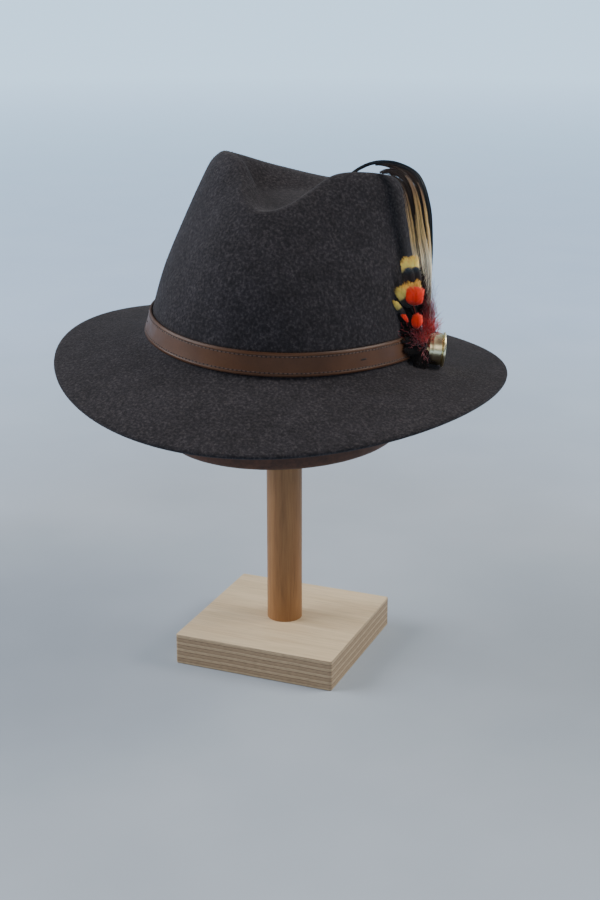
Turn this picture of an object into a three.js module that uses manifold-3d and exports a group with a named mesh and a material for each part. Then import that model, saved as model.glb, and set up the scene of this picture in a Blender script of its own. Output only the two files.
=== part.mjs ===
// Felt fedora with a leather band and a feather pin, resting on a plain wooden hat stand.
// Millimetres, +Z up. The origin is on the floor under the middle of the stand's foot.
// The front of the hat faces -Y and the wearer's left is +X.
import * as THREE from "three";
import { mergeVertices } from "three/addons/utils/BufferGeometryUtils.js";
import Module from "manifold-3d";

// Stand
const FOOT = { side: 113.5, height: 21.5, corner: 1.5, ease: 0.75 };
const POST = { diameter: 24, sides: 32 };
const BLOCK = {
  frontToBack: 180, sideToSide: 156, bottom: 157, straight: 33, top: 307.9,
  ease: 2, around: 36, domeRings: 8,
};

// How the hat sits on the block
const SEAT = { height: 217.3, noseUp: 5.3, leftDown: 3.6 };

// Felt
const FELT = { thickness: 2.2, around: 60 };
const HEAD = { frontToBack: 192, sideToSide: 177, saddle: -4.2 };
const BAND_ZONE = { foot: 0.6, height: 15.4, frontLean: 1.5, sideLean: 3 };
const WAIST_HEIGHT = 50;
const SHOULDER_DROP = 10;
const DENT = { frontFloor: 88.5, backFloor: 99, flat: 0.52, full: 0.92 };
const LEFT_SIDE = { sag: 2, tuck: 3.5 };

// Brim: reach past the crown, and the height of its edge as a sum of cosines of the azimuth
const BRIM = {
  front: 59.5, side: 58.5, back: 64,
  level: -14.6, frontDip: -16.9, foldDown: -7.4, nose: -0.9,
  rootReach: 4, rootDrop: 2.6, midReach: 0.5, midDrop: 0.55, midDropFront: -0.12,
};

// Half of the crown, front to back: radii from the crown's axis and height of the top edge
const CROWN = [
  { azimuth: 0, waist: 86, shoulder: 67.5, crest: 59, height: 90.5 },
  { azimuth: 15, waist: 84.5, shoulder: 63, crest: 54, height: 96 },
  { azimuth: 25, waist: 82, shoulder: 57.5, crest: 48, height: 102 },
  { azimuth: 40, waist: 79.5, shoulder: 52, crest: 41, height: 109 },
  { azimuth: 60, waist: 80, shoulder: 52.5, crest: 42, height: 117 },
  { azimuth: 85, waist: 81.5, shoulder: 62, crest: 52, height: 119.5 },
  { azimuth: 115, waist: 82.5, shoulder: 77, crest: 66, height: 116 },
  { azimuth: 145, waist: 86.5, shoulder: 79.5, crest: 68.5, height: 109 },
  { azimuth: 180, waist: 89.5, shoulder: 82, crest: 71.5, height: 104 },
];

// Points along each profile, from the middle of the dent out to the brim's edge
const DENT_STEPS = [0.2, 0.4, 0.52, 0.6, 0.67, 0.74, 0.81, 0.88, 0.95];
const WALL_STEPS = { crest: 4, shoulder: 3, waist: 3, bandTop: 2, foot: 2, root: 2, mid: 3 };

// Leather band
const BAND = { thickness: 1.6, gap: 0.35 };

// Feather pin: it sits on the band at one azimuth and points out along another.
// Its own axes are X to the back, Y up and Z out from the crown.
const PIN = { azimuth: 92, points: 112, low: 0.4, gap: 0.3 };
const CAP = {
  base: 8.5, length: 12.1, mouthDiameter: 19.8, bodyDiameter: 20.8, rimDiameter: 22.4,
  rim: 1.8, neck: 1.5, neckIn: 0.5, rimSlope: 0.3, ease: 0.4, dimple: 6.2, dimpleDepth: 0.5,
  sides: 24,
};
const PLUG = { back: 6, up: 9, end: 8.2, sunk: 6 };
const ROOT = { thickness: 1, up: 8, start: -2, end: 7.8 };
const LOCK = {
  thickness: 0.9, rootOut: 5.5, steps: 6, rootWidth: 0.35, widest: 0.8, tipWidth: 0.7,
  bendBack: 0.3, bendUp: 0.55, bendOut: 0.5,
};
const PLUME = { tipWidth: 0.4, spreadBy: 3 };

// Each lock of feather: its tip's place on the pin's axes and its greatest width
const HACKLES = [
  { back: -18, up: 29, out: -11, width: 6 },
  { back: -14, up: 45, out: -10, width: 8 },
  { back: -8, up: 50, out: -4, width: 9 },
  { back: -15, up: 9, out: -4, width: 6 },
  { back: -8, up: -9, out: 10, width: 6 },
  { back: -3, up: 40, out: 3, width: 8 },
];
const YELLOW_LOCKS = [
  { back: -15, up: 59, out: -10, width: 9 },
  { back: -11, up: 57, out: -5, width: 8 },
  { back: -19, up: 40, out: -13, width: 8 },
  { back: -11, up: 43, out: -4, width: 9 },
  { back: -20, up: 33, out: -13, width: 4 },
];
const RED_LOCKS = [
  { back: -11, up: 39, out: -2, width: 12 },
  { back: -15, up: 23, out: -7, width: 6 },
  { back: -12, up: 24, out: 0, width: 8 },
  { back: -6, up: 32, out: 6, width: 8 },
  { back: -7, up: 20, out: 12, width: 7 },
];

// Middle lines of the two plumes, and the strands that lie side by side along them
const STRAW_BOW = [
  { back: 0, up: 0, out: 4 },
  { back: -1, up: 20, out: 6 },
  { back: -2, up: 37, out: 5.5 },
  { back: -2, up: 53, out: 3 },
  { back: -1, up: 83, out: -4 },
  { back: 1, up: 103, out: -13 },
];
const STRAW_STRANDS = [
  { aside: -4.5, width: 2 },
  { aside: -1.5, width: 2.4 },
  { aside: 1.5, width: 2.4 },
];
const BLACK_BOW = [
  { back: 0, up: 0, out: 5 },
  { back: 0, up: 20, out: 7.5 },
  { back: 0, up: 40, out: 7 },
  { back: 0, up: 62, out: 3.5 },
  { back: 1, up: 84, out: -0.5 },
  { back: 3, up: 100, out: -6 },
  { back: 6, up: 108, out: -15 },
  { back: 8, up: 111, out: -28 },
  { back: 9, up: 108, out: -41 },
  { back: 10, up: 101, out: -53 },
];
const BLACK_STRANDS = [
  { aside: 0, width: 3.4 },
];

const FINISH = {
  felt: { color: 0x3a3634, roughness: 0.95, metalness: 0 },
  leather: { color: 0x6b4634, roughness: 0.5, metalness: 0 },
  brass: { color: 0xb59a55, roughness: 0.28, metalness: 1 },
  plywood: { color: 0xd6bf9b, roughness: 0.6, metalness: 0 },
  dowel: { color: 0xb07a48, roughness: 0.55, metalness: 0 },
  blockWood: { color: 0x7a5236, roughness: 0.6, metalness: 0 },
  blackFeather: { color: 0x14161a, roughness: 0.6, metalness: 0 },
  redFeather: { color: 0xb3202a, roughness: 0.75, metalness: 0 },
  strawFeather: { color: 0xc9a869, roughness: 0.6, metalness: 0 },
};

const wasm = await Module();
wasm.setup();

const radians = THREE.MathUtils.degToRad;
const lerp = THREE.MathUtils.lerp;

function namedMesh(name, geometry, finish) {
  geometry.computeVertexNormals();
  const mesh = new THREE.Mesh(geometry, new THREE.MeshStandardMaterial(FINISH[finish]));
  mesh.name = name;
  return mesh;
}

// A closed skin through rings of equal length. With a pole at each end it is a solid,
// and without poles the last ring joins the first, as in a hoop.
function loft(rings, poles = null) {
  const around = rings[0].length;
  const positions = rings.flat().flatMap((point) => [point.x, point.y, point.z]);
  const triangles = [];
  const joints = poles ? rings.length - 1 : rings.length;
  for (let ring = 0; ring < joints; ring += 1) {
    const here = ring * around;
    const next = ((ring + 1) % rings.length) * around;
    for (let i = 0; i < around; i += 1) {
      const j = (i + 1) % around;
      triangles.push([here + i, here + j, next + j], [here + i, next + j, next + i]);
    }
  }
  if (poles) {
    const first = positions.length / 3;
    const lastRing = (rings.length - 1) * around;
    positions.push(poles[0].x, poles[0].y, poles[0].z, poles[1].x, poles[1].y, poles[1].z);
    for (let i = 0; i < around; i += 1) {
      const j = (i + 1) % around;
      triangles.push([first, j, i], [first + 1, lastRing + i, lastRing + j]);
    }
  }
  return facingOut(positions, triangles);
}

function facingOut(positions, triangles) {
  const corner = (index) => new THREE.Vector3().fromArray(positions, index * 3);
  const sixVolumes = triangles.reduce((sum, [a, b, c]) => {
    return sum + corner(a).dot(corner(b).cross(corner(c)));
  }, 0);
  const ordered = sixVolumes > 0 ? triangles : triangles.map(([a, b, c]) => [a, c, b]);
  const geometry = new THREE.BufferGeometry();
  geometry.setAttribute("position", new THREE.Float32BufferAttribute(positions, 3));
  geometry.setIndex(ordered.flat());
  return geometry;
}

function toSolid(geometry) {
  const bare = geometry.clone();
  bare.deleteAttribute("normal");
  bare.deleteAttribute("uv");
  const merged = mergeVertices(bare, 1e-4);
  return new wasm.Manifold(new wasm.Mesh({
    numProp: 3,
    vertProperties: new Float32Array(merged.attributes.position.array),
    triVerts: new Uint32Array(merged.index.array),
  }));
}

// One solid from several that overlap, less whatever lies in the cutters
function fuse(geometries, cutters = []) {
  const joined = geometries.map(toSolid).reduce((sum, solid) => sum.add(solid));
  const cut = cutters.map(toSolid).reduce((rest, solid) => rest.subtract(solid), joined);
  const { vertProperties, triVerts } = cut.getMesh();
  const geometry = new THREE.BufferGeometry();
  geometry.setAttribute("position", new THREE.Float32BufferAttribute(vertProperties, 3));
  geometry.setIndex(Array.from(triVerts));
  return geometry;
}

// Smooth value of one column of the crown's table, the same on the left and on the right
function crownValue(column, azimuth) {
  const angle = Math.abs(((azimuth + 180) % 360 + 360) % 360 - 180);
  const rows = CROWN.length;
  const next = Math.min(Math.max(CROWN.findIndex((row) => row.azimuth >= angle), 1), rows - 1);
  const mirrored = (index) => {
    if (index < 0) return { angle: -CROWN[-index].azimuth, value: CROWN[-index][column] };
    const inside = index < rows ? index : 2 * (rows - 1) - index;
    const row = CROWN[inside];
    return { angle: index < rows ? row.azimuth : 360 - row.azimuth, value: row[column] };
  };
  const [p0, p1, p2, p3] = [next - 2, next - 1, next, next + 1].map(mirrored);
  const span = p2.angle - p1.angle;
  const t = (angle - p1.angle) / span;
  const slope1 = ((p2.value - p0.value) / (p2.angle - p0.angle)) * span;
  const slope2 = ((p3.value - p1.value) / (p3.angle - p1.angle)) * span;
  const h = 3 * t * t - 2 * t * t * t;
  return lerp(p1.value, p2.value, h)
    + (t * t * t - 2 * t * t + t) * slope1
    + (t * t * t - t * t) * slope2;
}

// Height and radii of the crown's top edge, a little lower and narrower on the left
function crownTop(azimuth) {
  const leftness = Math.max(0, Math.sin(radians(azimuth)));
  return {
    height: crownValue("height", azimuth) - LEFT_SIDE.sag * leftness,
    crest: crownValue("crest", azimuth) - LEFT_SIDE.tuck * leftness,
    shoulder: crownValue("shoulder", azimuth) - LEFT_SIDE.tuck * leftness,
    waist: crownValue("waist", azimuth) - (LEFT_SIDE.tuck / 2) * leftness,
  };
}

function headRadius(azimuth) {
  const a = HEAD.frontToBack / 2;
  const b = HEAD.sideToSide / 2;
  const angle = radians(azimuth);
  return (a * b) / Math.hypot(b * Math.cos(angle), a * Math.sin(angle));
}

function footHeight(azimuth) {
  return HEAD.saddle * Math.cos(2 * radians(azimuth));
}

function brimReach(azimuth) {
  const c = Math.cos(radians(azimuth));
  const end = c > 0 ? BRIM.front : BRIM.back;
  return lerp(BRIM.side, end, c * c);
}

function brimEdgeHeight(azimuth) {
  const angle = radians(azimuth);
  return BRIM.level + BRIM.frontDip * Math.cos(angle) + BRIM.foldDown * Math.cos(2 * angle)
    + BRIM.nose * Math.cos(3 * angle);
}

// Radius and height of the felt's outer face at the turning points of one profile
function profileKnots(azimuth) {
  const { crest, height, shoulder, waist } = crownTop(azimuth);
  const head = headRadius(azimuth);
  const foot = footHeight(azimuth);
  const sideways = Math.sin(radians(azimuth)) ** 2;
  const lean = lerp(BAND_ZONE.frontLean, BAND_ZONE.sideLean, sideways);
  const reach = brimReach(azimuth);
  const edge = brimEdgeHeight(azimuth);
  const rootHeight = foot - BRIM.rootDrop;
  const midDrop = BRIM.midDrop + BRIM.midDropFront * Math.cos(radians(azimuth));
  return [
    [crest, height],
    [shoulder, height - SHOULDER_DROP],
    [waist, WAIST_HEIGHT],
    [head - lean, foot + BAND_ZONE.height],
    [head, foot + BAND_ZONE.foot],
    [head + BRIM.rootReach, rootHeight],
    [head + reach * BRIM.midReach, lerp(rootHeight, edge, midDrop)],
    [head + reach, edge],
  ].map(([radius, z]) => new THREE.Vector3(radius, z, 0));
}

function dentPoint(azimuth, fraction) {
  const { crest, height } = crownTop(azimuth);
  const radius = crest * fraction;
  const along = (Math.cos(radians(azimuth)) * radius + CROWN.at(-1).crest)
    / (CROWN[0].crest + CROWN.at(-1).crest);
  const floor = lerp(DENT.backFloor, DENT.frontFloor, along);
  const rise = THREE.MathUtils.smoothstep(fraction, DENT.flat, DENT.full);
  return new THREE.Vector3(radius, lerp(floor, height, rise), 0);
}

// One profile of the outer face, with the number of each ring where a named stretch starts
function profile(azimuth) {
  const points = DENT_STEPS.map((fraction) => dentPoint(azimuth, fraction));
  const knots = profileKnots(azimuth);
  const curve = new THREE.CatmullRomCurve3([points.at(-1), ...knots], false, "centripetal");
  const starts = {};
  Object.entries(WALL_STEPS).forEach(([stretch, steps], index) => {
    starts[stretch] = points.length;
    for (let step = 0; step < steps; step += 1) {
      points.push(curve.getPoint((index + 1 + step / steps) / knots.length));
    }
  });
  points.push(knots.at(-1));
  return { points, starts };
}

function placeAround(azimuth, point) {
  const angle = radians(azimuth);
  return new THREE.Vector3(point.x * Math.sin(angle), -point.x * Math.cos(angle), point.y);
}

function feltFace() {
  const azimuths = Array.from({ length: FELT.around }, (_, i) => (360 * i) / FELT.around);
  const columns = azimuths.map((azimuth) => {
    return profile(azimuth).points.map((point) => placeAround(azimuth, point));
  });
  const rings = columns[0].map((_, ring) => columns.map((column) => column[ring]));
  const pole = new THREE.Vector3(0, 0, dentPoint(0, 0).y);
  return { rings, pole, starts: profile(0).starts };
}

function outward(rings, pole, ring, i) {
  const around = rings[ring].length;
  const sideways = rings[ring][(i + 1) % around].clone().sub(rings[ring].at(i - 1));
  const before = ring > 0 ? rings[ring - 1][i] : pole;
  const after = rings[Math.min(ring + 1, rings.length - 1)][i];
  return sideways.cross(before.clone().sub(after)).normalize();
}

function offsetRing(face, ring, distance) {
  return face.rings[ring].map((point, i) => {
    return point.clone().addScaledVector(outward(face.rings, face.pole, ring, i), distance);
  });
}

function feltBody(face) {
  const under = face.rings.map((_, ring) => offsetRing(face, ring, -FELT.thickness)).reverse();
  const underPole = face.pole.clone();
  underPole.z -= FELT.thickness;
  return loft([...face.rings, ...under], [face.pole, underPole]);
}

function hatBand(face) {
  const rings = [];
  for (let ring = face.starts.bandTop; ring <= face.starts.foot; ring += 1) rings.push(ring);
  const inner = rings.map((ring) => offsetRing(face, ring, BAND.gap));
  const outer = rings.map((ring) => offsetRing(face, ring, BAND.gap + BAND.thickness));
  return loft([...inner, ...outer.reverse()]);
}

// Oval ring of the stand's block
function ovalRing(scale, z) {
  return Array.from({ length: BLOCK.around }, (_, i) => {
    const angle = (2 * Math.PI * i) / BLOCK.around;
    const x = (BLOCK.sideToSide / 2) * scale * Math.sin(angle);
    return new THREE.Vector3(x, (-BLOCK.frontToBack / 2) * scale * Math.cos(angle), z);
  });
}

function standBlock() {
  const shoulder = BLOCK.bottom + BLOCK.straight;
  const eased = 1 - (2 * BLOCK.ease) / BLOCK.sideToSide;
  const rings = [ovalRing(eased, BLOCK.bottom), ovalRing(1, BLOCK.bottom + BLOCK.ease)];
  for (let ring = 0; ring < BLOCK.domeRings; ring += 1) {
    const angle = (Math.PI / 2) * (ring / BLOCK.domeRings);
    rings.push(ovalRing(Math.cos(angle), lerp(shoulder, BLOCK.top, Math.sin(angle))));
  }
  const poles = [BLOCK.bottom, BLOCK.top].map((z) => new THREE.Vector3(0, 0, z));
  return loft(rings, poles);
}

function standPost() {
  const length = BLOCK.bottom - FOOT.height;
  const geometry = new THREE.CylinderGeometry(
    POST.diameter / 2, POST.diameter / 2, length, POST.sides,
  );
  geometry.rotateX(Math.PI / 2);
  geometry.translate(0, 0, FOOT.height + length / 2);
  return geometry;
}

function standFoot() {
  const half = FOOT.side / 2 - FOOT.ease;
  const outline = new THREE.Shape();
  outline.moveTo(half - FOOT.corner, -half);
  outline.absarc(half - FOOT.corner, -half + FOOT.corner, FOOT.corner, -Math.PI / 2, 0);
  outline.absarc(half - FOOT.corner, half - FOOT.corner, FOOT.corner, 0, Math.PI / 2);
  outline.absarc(-half + FOOT.corner, half - FOOT.corner, FOOT.corner, Math.PI / 2, Math.PI);
  outline.absarc(-half + FOOT.corner, -half + FOOT.corner, FOOT.corner, Math.PI, 1.5 * Math.PI);
  const geometry = new THREE.ExtrudeGeometry(outline, {
    depth: FOOT.height - 2 * FOOT.ease,
    bevelEnabled: true,
    bevelThickness: FOOT.ease,
    bevelSize: FOOT.ease,
    bevelSegments: 1,
    curveSegments: 3,
  });
  geometry.translate(0, 0, FOOT.ease);
  return geometry;
}

// A flat lock of feather along a curve, its face to the front and widest past its middle
function lockStrip(places, width, steps, tipWidth) {
  const curve = new THREE.CatmullRomCurve3(places, false, "centripetal");
  const rings = [];
  for (let step = 0; step <= steps; step += 1) {
    const t = step / steps;
    const centre = curve.getPoint(t);
    const along = curve.getTangent(t);
    const across = new THREE.Vector3(0, along.z, -along.y).normalize();
    const front = new THREE.Vector3().crossVectors(across, along).normalize();
    const swell = lerp(LOCK.rootWidth, 1, Math.sin((Math.PI / 2) * Math.min(t / LOCK.widest, 1)));
    const pastWidest = Math.max(0, (t - LOCK.widest) / (1 - LOCK.widest));
    const halfWidth = (width / 2) * lerp(swell, tipWidth, pastWidest ** 2);
    const halfDepth = LOCK.thickness / 2;
    rings.push([[1, 1], [-1, 1], [-1, -1], [1, -1]].map(([u, v]) => {
      return centre.clone()
        .addScaledVector(across, u * halfWidth)
        .addScaledVector(front, v * halfDepth);
    }));
  }
  return loft(rings, [curve.getPoint(0), curve.getPoint(1)]);
}

function lockFan(locks, back) {
  return locks.map((lock) => {
    const root = new THREE.Vector3(back, 0, LOCK.rootOut);
    const tip = new THREE.Vector3(lock.back, lock.up, lock.out);
    const middle = new THREE.Vector3(
      lerp(back, lock.back, LOCK.bendBack),
      lock.up * LOCK.bendUp,
      lock.out > root.z ? root.z : lerp(root.z, lock.out, LOCK.bendOut),
    );
    return lockStrip([root, middle, tip], lock.width, LOCK.steps, LOCK.tipWidth);
  });
}

function rootTab(back) {
  const geometry = new THREE.BoxGeometry(ROOT.thickness, ROOT.up, ROOT.end - ROOT.start);
  geometry.translate(back, 0, (ROOT.start + ROOT.end) / 2);
  return geometry;
}

// How far a layer of feathers lies from the middle of the plug, counted from the plug out
function layerDepth(layer) {
  return PLUG.back / 2 + PIN.gap + ROOT.thickness / 2 + layer * (ROOT.thickness + PIN.gap);
}

// The quills' plug between the band and the cap, with the short feathers that grow from it
function featherCluster(room) {
  const plug = new THREE.BoxGeometry(PLUG.back, PLUG.up, PLUG.end + PLUG.sunk);
  plug.translate(0, 0, (PLUG.end - PLUG.sunk) / 2);
  const front = -PLUG.back / 2 + LOCK.thickness;
  const locks = [
    ...lockFan(HACKLES, 0), ...lockFan(YELLOW_LOCKS, front / 2), ...lockFan(RED_LOCKS, front),
  ];
  return fuse([plug, ...locks], [room, capRoom()]);
}

function plume(bow, strands, layer, room) {
  const back = layerDepth(layer);
  const strips = strands.map(({ aside, width }) => {
    const places = bow.map((place, index) => {
      const spread = aside * Math.min(1, index / PLUME.spreadBy);
      return new THREE.Vector3(back + place.back, place.up, place.out + spread);
    });
    return lockStrip(places, width, 2 * bow.length - 2, PLUME.tipWidth);
  });
  return fuse([rootTab(back), ...strips], [room, capRoom()]);
}

// The room that the cap takes up, with a small gap
function capRoom() {
  const radius = CAP.rimDiameter / 2 + PIN.gap;
  const geometry = new THREE.CylinderGeometry(radius, radius, CAP.length + 2 * PIN.gap, CAP.sides);
  geometry.rotateX(Math.PI / 2);
  geometry.translate(0, 0, CAP.base + CAP.length / 2);
  return geometry;
}

function brassCap() {
  const mouth = CAP.mouthDiameter / 2;
  const body = CAP.bodyDiameter / 2;
  const rim = CAP.rimDiameter / 2;
  const dimple = CAP.dimple / 2;
  const shoulder = CAP.length - CAP.rim;
  const outline = [
    [0, 0], [mouth, 0], [body, shoulder - CAP.neck], [body - CAP.neckIn, shoulder],
    [rim, shoulder + CAP.rimSlope], [rim, CAP.length - CAP.ease], [rim - CAP.ease, CAP.length],
    [dimple, CAP.length], [dimple - CAP.rimSlope, CAP.length - CAP.dimpleDepth],
    [0, CAP.length - CAP.dimpleDepth],
  ].map(([radius, z]) => new THREE.Vector2(radius, z));
  const geometry = new THREE.LatheGeometry(outline, CAP.sides);
  geometry.rotateX(Math.PI / 2);
  geometry.translate(0, 0, CAP.base);
  return fuse([geometry]);
}

// Group whose axes are those of the pin, on the outer face of the band
function pinGroup(face) {
  const direction = (azimuth) => placeAround(azimuth, new THREE.Vector3(1, 0, 0));
  const out = direction(PIN.points);
  const up = new THREE.Vector3(0, 0, 1);
  const back = new THREE.Vector3().crossVectors(up, out);
  const column = Math.round((PIN.azimuth / 360) * FELT.around);
  const middle = face.starts.bandTop + WALL_STEPS.bandTop / 2;
  const onBand = offsetRing(face, middle, BAND.gap + BAND.thickness)[column];
  const radius = Math.hypot(onBand.x, onBand.y);
  const group = new THREE.Group();
  group.setRotationFromMatrix(new THREE.Matrix4().makeBasis(back, up, out));
  group.position.copy(direction(PIN.azimuth).multiplyScalar(radius).setZ(onBand.z - PIN.low));
  group.updateMatrix();
  return group;
}

// The room that the crown and band take up, with a small gap, on the pin's axes
function crownRoom(face, group) {
  const rings = face.rings.map((_, ring) => {
    const banded = ring >= face.starts.bandTop && ring <= face.starts.foot;
    const cover = banded ? BAND.gap + BAND.thickness : 0;
    return offsetRing(face, ring, cover + PIN.gap);
  });
  const room = loft(rings, [face.pole, new THREE.Vector3(0, 0, -HEAD.sideToSide / 2)]);
  room.applyMatrix4(group.matrix.clone().invert());
  return room;
}

const face = feltFace();

const pin = pinGroup(face);
const room = crownRoom(face, pin);
pin.add(
  namedMesh("feather_cluster", featherCluster(room), "redFeather"),
  namedMesh("straw_plume", plume(STRAW_BOW, STRAW_STRANDS, 0, room), "strawFeather"),
  namedMesh("black_plume", plume(BLACK_BOW, BLACK_STRANDS, 1, room), "blackFeather"),
  namedMesh("brass_cap", brassCap(), "brass"),
);

const hat = new THREE.Group();
hat.position.set(0, 0, SEAT.height);
hat.rotation.set(-radians(SEAT.noseUp), radians(SEAT.leftDown), 0, "XYZ");
hat.add(
  namedMesh("felt_body", feltBody(face), "felt"),
  namedMesh("hat_band", hatBand(face), "leather"),
  pin,
);

const part = new THREE.Group();
part.add(
  namedMesh("stand_foot", standFoot(), "plywood"),
  namedMesh("stand_post", standPost(), "dowel"),
  namedMesh("stand_block", standBlock(), "blockWood"),
  hat,
);
part.updateMatrixWorld(true);

export default part;
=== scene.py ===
"""Felt fedora with a leather band and a feather pin, on a plain wooden hat stand.

The CAD model is the frame. Felt, band and block are smoothed copies of their CAD nodes.
The fuzz on the felt, the stitches, the slits, the feathers, the brass cap, the post and the
foot are modelled here around it.
Lengths in the constants are millimetres and turns are degrees, unless a name or a comment
says otherwise.
"""
import math
import random

import bmesh
import bpy
import numpy as np
from mathutils import Matrix, Vector
from mathutils.bvhtree import BVHTree


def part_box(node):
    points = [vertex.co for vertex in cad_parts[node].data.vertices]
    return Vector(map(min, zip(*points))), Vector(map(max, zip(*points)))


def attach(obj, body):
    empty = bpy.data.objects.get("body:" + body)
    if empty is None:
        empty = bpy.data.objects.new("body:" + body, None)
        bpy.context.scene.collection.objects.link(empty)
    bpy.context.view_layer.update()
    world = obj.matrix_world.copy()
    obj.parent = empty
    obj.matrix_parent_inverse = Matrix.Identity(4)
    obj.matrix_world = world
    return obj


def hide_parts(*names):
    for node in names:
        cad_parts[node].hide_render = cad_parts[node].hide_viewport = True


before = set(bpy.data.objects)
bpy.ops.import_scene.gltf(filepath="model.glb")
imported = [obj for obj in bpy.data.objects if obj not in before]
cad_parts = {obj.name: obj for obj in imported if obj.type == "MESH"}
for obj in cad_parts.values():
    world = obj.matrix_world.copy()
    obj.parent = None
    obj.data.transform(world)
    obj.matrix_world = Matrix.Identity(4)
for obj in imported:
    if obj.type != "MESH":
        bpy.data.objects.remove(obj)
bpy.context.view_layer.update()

MM = 0.001
BODY = "root"

# The hat's own frame on the stand
HAT_HEIGHT = 217.3
HAT_NOSE_UP = 5.3
HAT_LEFT_DOWN = 3.6
HAT = (
    Matrix.Translation((0, 0, HAT_HEIGHT * MM))
    @ Matrix.Rotation(math.radians(-HAT_NOSE_UP), 4, "X")
    @ Matrix.Rotation(math.radians(HAT_LEFT_DOWN), 4, "Y")
)

# The feather pin's frame on the hat: X to the back, Y up and Z out from the crown
PIN_PLACE = Vector((88.5978, 3.0939, 11.1206))
PIN_BACK = Vector((-0.374607, 0.927184, 0))
PIN_UP = Vector((0, 0, 1))
PIN_OUT = Vector((0.927184, 0.374607, 0))
PIN = HAT @ Matrix.Translation(PIN_PLACE * MM) @ Matrix((
    (PIN_BACK.x, PIN_UP.x, PIN_OUT.x, 0),
    (PIN_BACK.y, PIN_UP.y, PIN_OUT.y, 0),
    (PIN_BACK.z, PIN_UP.z, PIN_OUT.z, 0),
    (0, 0, 0, 1),
))

# Camera, and the picture that its pixel places are measured in
CAMERA_PLACE = Vector((393.6, -941.0, 488.0))
CAMERA_LOOK = Vector((-0.3564, 0.8776, -0.3206))
CAMERA_TURN = CAMERA_LOOK.to_track_quat("-Z", "Y")
CAMERA_LENS = 64
CAMERA_SENSOR = 36
FOCAL_PIXELS = 1600
PICTURE_CENTRE = (300, 450)

# Merging and joining of the CAD triangles
MERGE_DISTANCE = 0.01
JOIN_TURN = 70

# Hairs on the felt. Felt that faces down nearer to the hat's axis than "inside" is in the
# crown, and "clear" is the room that a hair needs over it, so none grows under the band
FUZZ = {
    "count": 46000, "length": (0.5, 1.3), "radius": 0.05, "sunk": 0.08, "lean": 0.55,
    "inside": 92, "clear": 4,
}

# The band: the turn from one column of its points to the next, the heights where it is
# looked for, the ray that looks for it, and its stitches, their holes and its slits.
# A bead is a length, a width and a height
BAND_COLUMN_TURN = 6
BAND_LEVELS = [quarter / 4 for quarter in range(-40, 160)]
BAND_RAY = {"start": 200, "reach": 130}
STITCH = {
    "bead": (1.9, 0.62, 0.42), "lift": -0.02, "pitch": 2.65, "inset": 2.4, "ring": 91.5,
    "astray": 0.05, "tilt": (3, 12),
}
STITCH_HOLE = {"bead": (1.1, 1.25, 0.3), "lift": -0.05}
SLIT = {"bead": (4.9, 1.15, 0.3), "lift": 0.06, "azimuths": (-55, 54.5), "turn_in_radians": 0.12}

# Feathers and strands. Roots are places in the pin's frame. A barb's taper lists shares of its
# length with its thickness there, and a lot is a strand's own tone from 0 to 1
FEATHER_CLEARANCE = 1.2
SHORT_ROOT = {"back": (-2.5, -0.5), "up": (-2, 2), "out": 6.5}
LONG_ROOT = {"back": (-1, 1.5), "up": 0.5, "out": 6.2}
VANE = {
    "arc": (-62, 90), "arc_steps": 160, "belly": 0.55, "bow": 0.06, "cup": 0.7,
    "first_root": 0.08, "last_root": 0.93,
}
BARB = {
    "pitch": 0.42, "fewest": 12, "radius": 0.24, "lean": 0.9, "rise": 1.25, "lot": 0.22,
    "split_chance": 0.12, "split": 0.35,
}
BARB_TAPER = ((0.0, 1.0), (0.4, 0.95), (0.75, 0.8), (1.0, 0.42))
QUILL = {
    "root_radius": 0.42, "bend_radius": 0.38, "vane_radius": 0.34, "taper": 0.6, "lift": 0.1,
    "bend_share": 0.6, "bend": 0.04, "shares": (0.0, 0.35, 0.65, 0.92),
}
FLUFF = {
    "root": (-2, 1, 7), "depth": 4, "length": (0.6, 1.25), "steps": 5, "curl": 0.35,
    "curl_power": 1.8, "ripple": 0.08, "ripples_in_radians": 7, "taper": 0.7,
}
STRAND = {
    "spread": 0.3, "widest": 0.5, "depth": 1.6, "wave": 0.35, "wave_step_in_radians": 0.45,
    "wave_lot_in_radians": 30, "root_radius": 0.9, "taper": 0.7,
}

# Turned pieces, the sharp edges that they keep, the plies and the rounded edges of the foot
TURNED_STEPS = 96
CRISP_TURN = 35
PLY = {"thickness": 4.8, "wobble": 1.2}
FOOT_CORNER = {"radius": 1.6, "segments": 4}
FOOT_RIM = {"radius": 0.8, "segments": 3}

# Floor, lights and world, in metres and watts
FLOOR_RADIUS = 40
FLOOR_GLOW_REACH = 4.0
LIGHTS = {
    "window_left": {
        "place": (-1.5, -0.55, 1.25), "target": (0, 0, 0.22), "size": (1.4, 1.4), "power": 44,
        "colour": (0.98, 0.98, 1.0),
    },
    "window_right": {
        "place": (1.15, 0.45, 1.25), "target": (0, 0, 0.25), "size": (0.8, 1.0), "power": 25,
        "colour": (1.0, 0.96, 0.9),
    },
    "room_front": {
        "place": (0.9, -1.6, 1.2), "target": (0, 0, 0.2), "size": (1.2, 1.0), "power": 5,
        "colour": (1.0, 0.97, 0.95),
    },
    "window_back": {
        "place": (0.4, 1.4, 1.3), "target": (0, 0, 0.25), "size": (1.2, 0.8), "power": 1.5,
        "colour": (0.94, 0.97, 1.0),
    },
}
WORLD_BRIGHT_SIDE = (-0.37, 0.93, 0.25)
WORLD_TONES = ((0.0, (0.095, 0.09, 0.088, 1)), (0.75, (0.35, 0.40, 0.46, 1)))


# Scene helpers

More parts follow.
